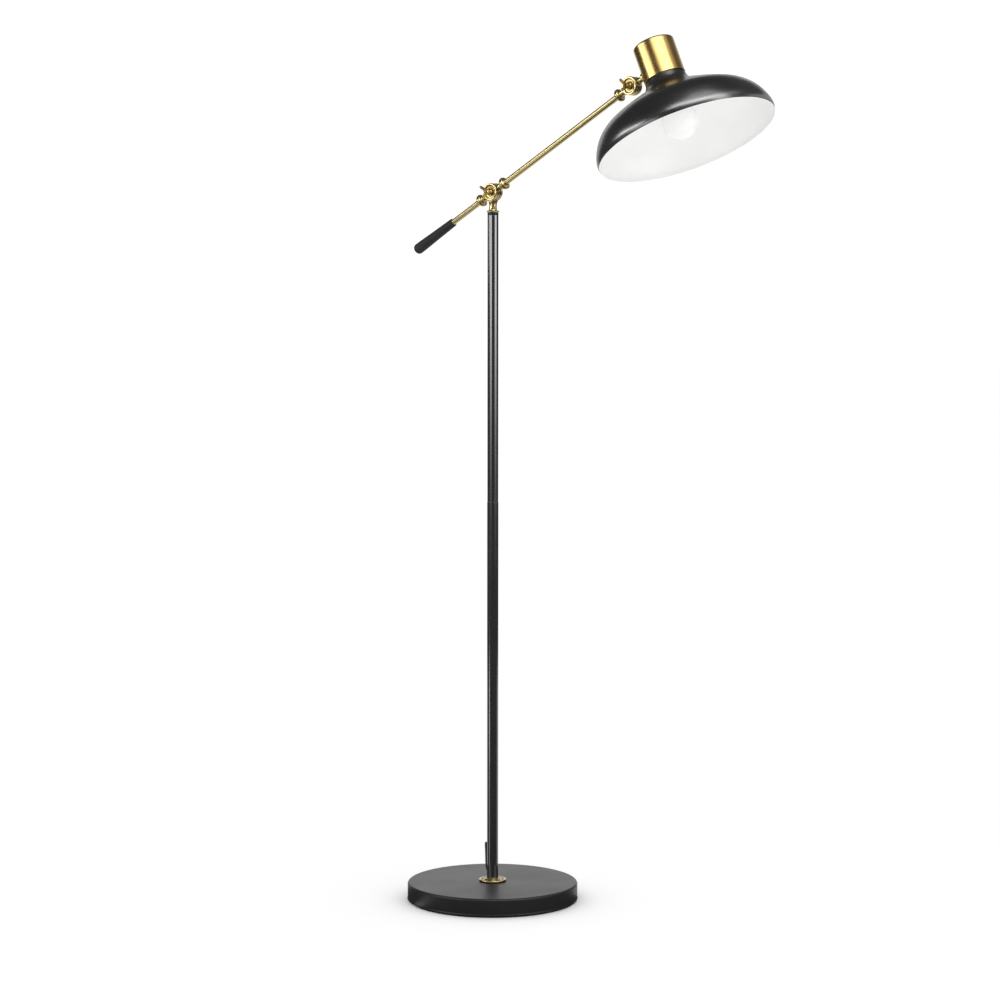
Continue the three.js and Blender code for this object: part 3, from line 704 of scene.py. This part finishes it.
def make_cap():
    r, sheet, bend = CAP_RADIUS, 1.3, 3.6
    outline = ([(r - sheet, CAP_BOTTOM), (r - 0.3, CAP_BOTTOM), (r, CAP_BOTTOM + 0.3)]
               + arc(r - bend, CAP_TOP - bend, bend, 0, 90, 10)
               + [(0, CAP_TOP), (0, CAP_TOP - sheet)]
               + arc(r - bend, CAP_TOP - bend, bend - sheet, 90, 0, 6)
               + [(r - sheet, CAP_BOTTOM)])
    piece("cap_shell", "head", HEAD, [turned(outline, 128)], [CAP_GOLD], ["cap"])


def make_head_knuckle():
    wall = SHADE_AXIS - CAP_RADIUS
    stub = turned([(0, 15.5), (5, 15.5), (5.6, 17)] + arc(5.2, 18.4, 0.7, -40, 60, 4)
                  + [(4.9, 21), (4.9, wall - 6)] + arc(7.9, wall - 5, 0.7, -90, 0, 4)
                  + [(8.6, wall - 0.4), (3.4, wall - 0.2), (3.4, wall + 13), (0, wall + 13)], 48)
    piece("head_joint_tongue", "head", AT_HEAD, knuckle([(0, stub)]), [BRASS],
          ["head_knuckle"])


def make_socket(seat):
    skirt = ([(15.2, 84)] + arc(18.2, 84.8, 0.8, -90, 0, 4) + [(19, seat - 6)]
             + arc(19.9, seat - 5.4, 0.5, -90, 0, 3) + [(20.4, seat + 4.6), (19, seat + 5.2)]
             + [(19, 124)] + arc(18, 124, 1, 0, 90, 4) + [(5.4, 125), (5.4, 120), (15.2, 120)]
             + [(15.2, 84)])
    piece("socket_porcelain", "head", HEAD, [turned(skirt, 64)], [PORCELAIN], ["socket_body"])
    low, high = seat - SHADE_SHEET - 4.3, seat - SHADE_SHEET - 0.3
    grooves = [(20.8, low), (25.4, low), (26, low + 0.6), (26, low + 1.4), (25.5, low + 1.7),
               (25.5, low + 2.3), (26, low + 2.6), (26, high), (20.8, high), (20.8, low)]
    piece("shade_clamp_ring", "head", HEAD, [turned(grooves, 72)], [PORCELAIN], ["shade_ring"])


def make_bulb():
    globe = arc(0, 35, 30, -90, 42, 30)
    neck = through([globe[-1], (19.2, 63), (16, 72), (13.6, 80), (13.4, 83)], 20)
    outline = globe + [tuple(at) for at, _ in neck[1:]] + [(0, 83)]
    piece("bulb_globe", "head", HEAD, [turned([(max(0, r), z) for r, z in outline], 96)],
          [FROSTED], ["bulb_glass"], crease=60)
    outline = [(0, 83.3), (13.1, 83.3), (13.1, 86.4)]
    for i in range(6):
        low = 87 + i * 3.5
        outline += [(12.1, low), (12.7, low + 0.7), (13.15, low + 1.75), (12.7, low + 2.8)]
    outline += [(12, 108.2), (8, 112), (5, 114), (5, 116.3), (4.5, 116.8), (0, 116.8)]
    piece("bulb_screw_base", "head", HEAD, [turned(outline, 48)], [STEEL], ["bulb_base"])


# What stays from the CAD model is inside the lamp, and only needs a real surface.

def dress_the_rest():
    finishes = {"iron": IRON, "steel": STEEL, "brass": BRASS, "rubber_black": CORD_RUBBER,
                "socket_white": PORCELAIN}
    slots = {s["node"]: s["material_slot"] for s in frame["record"]["subparts"]}
    for name, node in frame["nodes"].items():
        if node.hide_render:
            continue
        node.data.materials.clear()
        node.data.materials.append(finishes[slots[name]])


# Studio ---------------------------------------------------------------------

def glow(name, level):
    material = bpy.data.materials.new(name)
    material.use_nodes = True
    nodes = material.node_tree.nodes
    nodes.clear()
    light = nodes.new("ShaderNodeEmission")
    light.inputs["Strength"].default_value = level
    out = nodes.new("ShaderNodeOutputMaterial")
    material.node_tree.links.new(light.outputs["Emission"], out.inputs["Surface"])
    return material


def stage_sheet(name, corners, material):
    """A sheet between two rows of points, the second row after the first in corners."""
    mesh = bpy.data.meshes.new(name)
    count = len(corners) // 2
    faces = [(i, i + 1, i + 1 + count, i + count) for i in range(count - 1)]
    mesh.from_pydata([tuple(c) for c in corners], [], faces)
    mesh.materials.append(material)
    made = bpy.data.objects.new(name, mesh)
    bpy.context.collection.objects.link(made)
    return made


def only_in_reflections(card):
    """Leaves a card of the studio to be seen by mirror rays alone."""
    card.visible_camera = card.visible_diffuse = card.visible_shadow = False
    card.visible_transmission = card.visible_volume_scatter = False


def around(degrees, distance, height):
    """A point round the lamp, by its bearing to the right of the camera's side."""
    a = CAMERA_AZIMUTH + math.radians(degrees)
    return Vector((distance * math.sin(a), -distance * math.cos(a), height))


def square(half, height):
    return [(-half, -half, height), (half, -half, height),
            (-half, half, height), (half, half, height)]


# What shows in reflections on each side: bearings from the camera's side in degrees, and
# bands that each start at a height in metres with a brightness, up to the ceiling.
FADE = [(0, 0.05), (0.3, 0.1), (0.45, 0.18), (0.54, 0.35), (0.63, 0.5), (0.72, 0.8),
        (0.81, 1.15), (0.9, 1.5), (1.0, 1.9), (1.12, 2.15)]
WALLS = {
    "left_rear": (-150, -92, [(0, 0.07)]),
    "left_edge": (-92, -76, [(0, 0.07), (1.15, 2.4), (1.4, 4.4), (2.1, 0.3), (2.5, 0.05)]),
    "left": (-76, -62, [(0, 0.07), (1.4, 4.4), (2.1, 0.3), (2.5, 0.05)]),
    "left_box": (-62, -50, FADE + [(1.4, 4.2), (2.2, 0.3), (2.6, 0.05)]),
    "left_front": (-50, -24, FADE + [(1.4, 0.06)]),
    "front": (-24, 2, [(0, 0.06), (3.2, 3.8)]),
    "front_right": (2, 38, [(0, 0.06), (2.65, 3.6), (3.4, 3.9)]),
    "right_box": (38, 56, FADE + [(2.6, 3.2)]),
    "right": (56, 82, FADE + [(1.6, 0.1), (3.4, 0.6)]),
    "right_rear": (82, 150, [(0, 0.06), (1.7, 0.7), (2.6, 0.12)]),
    "rear": (150, 210, [(0, 0.95), (3.2, 0.12)]),
}
CEILING = 5.0
CEILING_LEVEL = 0.07
CEILING_HALF = 4.5
CARD_STEP = 6  # degrees, about, between the points of a curved card
FLOOR_HALF = 40
FLOOR_HEIGHT = -0.0003
FLOOR_WHITE = (0.95, 0.95, 0.95)
WORLD_STRENGTH = 1.06
# Sheets of light below the ceiling and on the floor: start, end, inner and outer reach,
# height, brightness.
LEVEL_SECTORS = {
    "ceiling_box": (-8, 60, 0.9, 4.2, CEILING - 0.02, 1.1),
    "floor_front": (-60, 96, 0.01, 4.2, 0.001, 0.05),
    "floor_left": (-71, -60, 0.01, 1.5, 0.001, 0.9),
    "floor_gleam": (-71, -63, 1.5, 3.0, 0.001, 2.8),
    "floor_far_left": (-112, -71, 0.01, 4.2, 0.001, 0.06),
    "floor_rear": (96, 248, 0.01, 4.2, 0.001, 0.7),
}


def bearings(start, end):
    count = max(2, int((end - start) / CARD_STEP) + 1)
    return [start + (end - start) * i / (count - 1) for i in range(count)]


def wall(name, start, end, bands, distance=3.0):
    """A curved wall of cards round the lamp, for the metal and gloss paint to mirror."""
    tops = [low for low, level in bands[1:]] + [CEILING]
    for i, ((low, level), high) in enumerate(zip(bands, tops)):
        corners = [around(b, distance, z) for z in (low, high) for b in bearings(start, end)]
        label = f"{name}_{i + 1}"
        only_in_reflections(stage_sheet(label, corners, glow(label, level)))


def level_sector(name, start, end, inner, outer, height, level):
    corners = [around(b, reach, height) for reach in (inner, outer) for b in bearings(start, end)]
    only_in_reflections(stage_sheet(name, corners, glow(name, level)))


def fill_light(name, bearing, distance, height, aim, size, power):
    """A wide soft light that lights without being mirrored."""
    light = bpy.data.lights.new(name, "AREA")
    light.size = size
    light.energy = power
    made = bpy.data.objects.new(name, light)
    made.location = around(bearing, distance, height)
    made.rotation_euler = (Vector(aim) - made.location).to_track_quat("-Z", "Y").to_euler()
    made.visible_glossy = False
    bpy.context.collection.objects.link(made)


def make_studio():
    matt_white = surface("floor_white", FLOOR_WHITE, 0.9, Specular_IOR_Level=0)[0]
    stage_sheet("floor", square(FLOOR_HALF, FLOOR_HEIGHT), matt_white)
    world = bpy.context.scene.world or bpy.data.worlds.new("studio")
    bpy.context.scene.world = world
    world.use_nodes = True
    background = world.node_tree.nodes["Background"]
    background.inputs["Color"].default_value = (1, 1, 1, 1)
    background.inputs["Strength"].default_value = WORLD_STRENGTH
    for name, facts in WALLS.items():
        wall(name, *facts)
    for name, facts in LEVEL_SECTORS.items():
        level_sector(name, *facts)
    only_in_reflections(stage_sheet("ceiling_card", square(CEILING_HALF, CEILING),
                                    glow("ceiling_card", CEILING_LEVEL)))
    fill_light("shade_fill", bearing=35, distance=2.4, height=0.3, aim=(0.43, 0, 1.3),
               size=1.2, power=7.5)
    bpy.context.scene.view_settings.view_transform = "Standard"


make_camera()
relief = make_strain_relief()
make_cord([*make_switch(), *make_plug(), relief])
make_base()
make_pole()
make_pivot()
make_arm()
shade_seat = make_shade()
make_cap()
make_head_knuckle()
make_socket(shade_seat)
make_bulb()
dress_the_rest()
make_studio()
